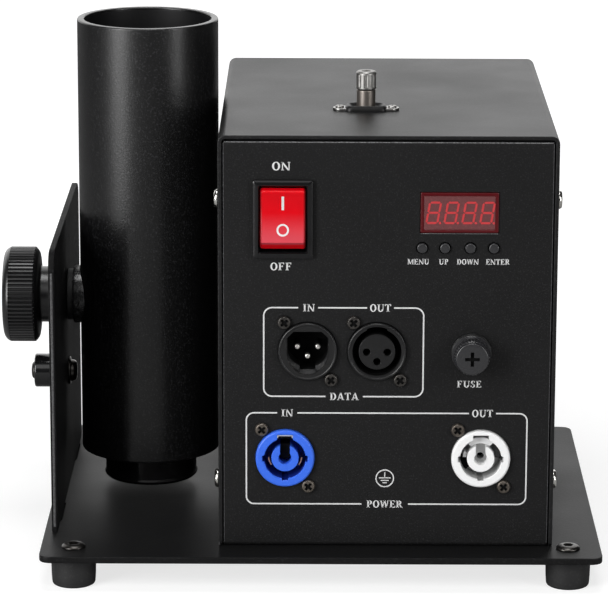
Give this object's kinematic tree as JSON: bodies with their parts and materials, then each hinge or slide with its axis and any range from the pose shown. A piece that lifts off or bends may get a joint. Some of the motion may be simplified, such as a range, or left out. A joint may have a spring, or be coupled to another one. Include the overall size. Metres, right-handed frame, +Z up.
{
  "type": "confetti launcher",
  "caption": "Stage confetti launcher: a tilting open barrel clamped by a side knob beside a black metal control box with switch, display, keys, sockets and fuse, on a footed base plate.",
  "frame": {"origin": "centre of the overall plan box, on the surface the rubber feet stand on", "axes": "+Z up, the control panel faces -Y, the barrel and its knob are on the -X side and the control box on the +X side"},
  "size_m": [0.2512, 0.192, 0.2198],
  "materials": {
    "black_steel": "fine-textured black powder coat",
    "panel_steel": "fine-textured black powder coat",
    "barrel_paint": "satin black coat",
    "black_plastic": "moulded satin",
    "black_rubber": "matt",
    "bright_steel": "bright nickel",
    "dark_steel": "dark nickel",
    "case_aluminium": "mill",
    "red_plastic": "gloss",
    "window_red": "gloss filter",
    "blue_plastic": "satin gloss",
    "white_plastic": "satin gloss",
    "board_green": "solder mask",
    "brass": "turned",
    "clear_glass": "clear"
  },
  "bodies": {
    "base": {"base_plate": "black_steel", "side_bracket": "black_steel", "foot_1": "black_rubber", "foot_2": "black_rubber", "foot_3": "black_rubber", "foot_4": "black_rubber", "foot_screw_1": "dark_steel", "foot_screw_2": "dark_steel", "foot_screw_3": "dark_steel", "foot_screw_4": "dark_steel", "side_bumper": "black_rubber", "bumper_screw": "dark_steel", "bumper_nut": "dark_steel", "cover": "black_steel", "chassis": "panel_steel", "cover_screw_left_1": "bright_steel", "cover_screw_left_2": "bright_steel", "cover_screw_left_3": "bright_steel", "cover_screw_left_4": "bright_steel", "cover_screw_right_1": "bright_steel", "cover_screw_right_2": "bright_steel", "cover_screw_right_3": "bright_steel", "cover_screw_right_4": "bright_steel", "rocker_frame": "black_plastic", "display_window": "window_red", "control_board": "board_green", "data_in_shell": "black_plastic", "data_in_insert": "bright_steel", "data_out_shell": "black_plastic", "data_out_insert": "black_plastic", "power_in_socket": "blue_plastic", "power_out_socket": "white_plastic", "data_in_screw_1": "dark_steel", "data_in_screw_2": "dark_steel", "data_out_screw_1": "dark_steel", "data_out_screw_2": "dark_steel", "power_in_screw_1": "dark_steel", "power_in_screw_2": "dark_steel", "power_out_screw_1": "dark_steel", "power_out_screw_2": "dark_steel", "fuse_holder": "black_plastic", "aerial_flange": "bright_steel", "aerial_collar": "black_rubber", "aerial_post": "dark_steel", "power_supply": "case_aluminium"},
    "barrel": {"barrel_tube": "barrel_paint", "barrel_neck": "black_plastic", "firing_contact": "brass", "saddle_spacer": "black_steel", "friction_washer": "black_rubber", "pivot_bolt": "dark_steel"},
    "knob": {"clamp_knob": "black_plastic"},
    "switch_rocker": {"rocker": "red_plastic"},
    "menu_key": {"button_menu": "black_plastic"},
    "up_key": {"button_up": "black_plastic"},
    "down_key": {"button_down": "black_plastic"},
    "enter_key": {"button_enter": "black_plastic"},
    "fuse_link": {"fuse": "clear_glass"},
    "fuse_top": {"fuse_cap": "black_plastic"},
    "aerial_top": {"aerial_cap": "bright_steel"}
  },
  "joints": [
    {"name": "barrel_tilt", "type": "hinge", "parent": "base", "child": "barrel", "pos_m": [-0.0634, 0.009, 0.0993], "axis": [1, 0, 0], "range_deg": [-90, 90]},
    {"name": "knob_turn", "type": "hinge", "parent": "barrel", "child": "knob", "pos_m": [-0.1162, 0.009, 0.0993], "axis": [1, 0, 0], "continuous": true},
    {"name": "rocker_tip", "type": "hinge", "parent": "base", "child": "switch_rocker", "pos_m": [-0.0052, -0.0788, 0.1531], "axis": [1, 0, 0], "range_deg": [0, 20]},
    {"name": "menu_press", "type": "slide", "parent": "base", "child": "menu_key", "axis": [0, 1, 0], "range_m": [0, 0.0008], "stiffness_N_per_m": 600, "springref_m": -0.0005},
    {"name": "up_press", "type": "slide", "parent": "base", "child": "up_key", "axis": [0, 1, 0], "range_m": [0, 0.0008], "stiffness_N_per_m": 600, "springref_m": -0.0005},
    {"name": "down_press", "type": "slide", "parent": "base", "child": "down_key", "axis": [0, 1, 0], "range_m": [0, 0.0008], "stiffness_N_per_m": 600, "springref_m": -0.0005},
    {"name": "enter_press", "type": "slide", "parent": "base", "child": "enter_key", "axis": [0, 1, 0], "range_m": [0, 0.0008], "stiffness_N_per_m": 600, "springref_m": -0.0005},
    {"name": "fuse_slide", "type": "slide", "parent": "base", "child": "fuse_link", "axis": [0, -1, 0], "range_m": [0, 0.03]},
    {"name": "fuse_cap_turn", "type": "hinge", "parent": "fuse_link", "child": "fuse_top", "pos_m": [0.0713, -0.0802, 0.0976], "axis": [0, -1, 0], "range_deg": [0, 90]},
    {"name": "aerial_cap_turn", "type": "hinge", "parent": "base", "child": "aerial_top", "pos_m": [0.0286, -0.026, 0.2], "axis": [0, 0, 1], "continuous": true}
  ]
}
